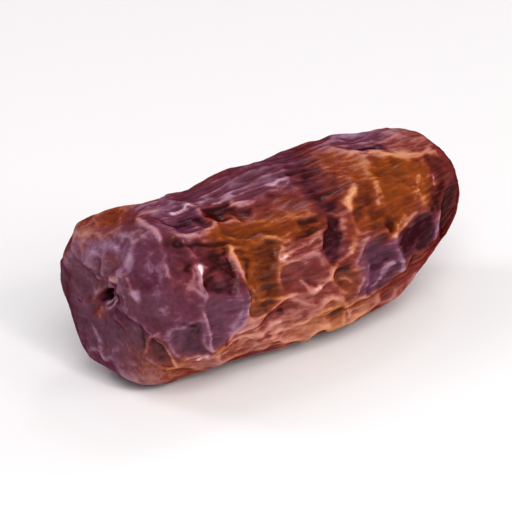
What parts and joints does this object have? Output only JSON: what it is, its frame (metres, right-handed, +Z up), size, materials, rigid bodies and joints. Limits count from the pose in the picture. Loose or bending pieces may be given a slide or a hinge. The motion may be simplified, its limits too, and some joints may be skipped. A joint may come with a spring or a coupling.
{
  "type": "piarom date",
  "caption": "Whole dried date, long and narrow, with a folded glossy skin, a blunt stem end with its scar, and a rounded tip. Lies on its side.",
  "frame": {"origin": "on the surface the fruit lies on, under the middle of its box", "axes": "+X from the stem end to the tip, +Z up, -Y towards the side with the open fold"},
  "size_m": [0.0488, 0.0204, 0.0187],
  "materials": {
    "date_skin": "glossy plum-brown skin with amber patches"
  },
  "bodies": {
    "root": {"date": "date_skin"}
  },
  "joints": []
}
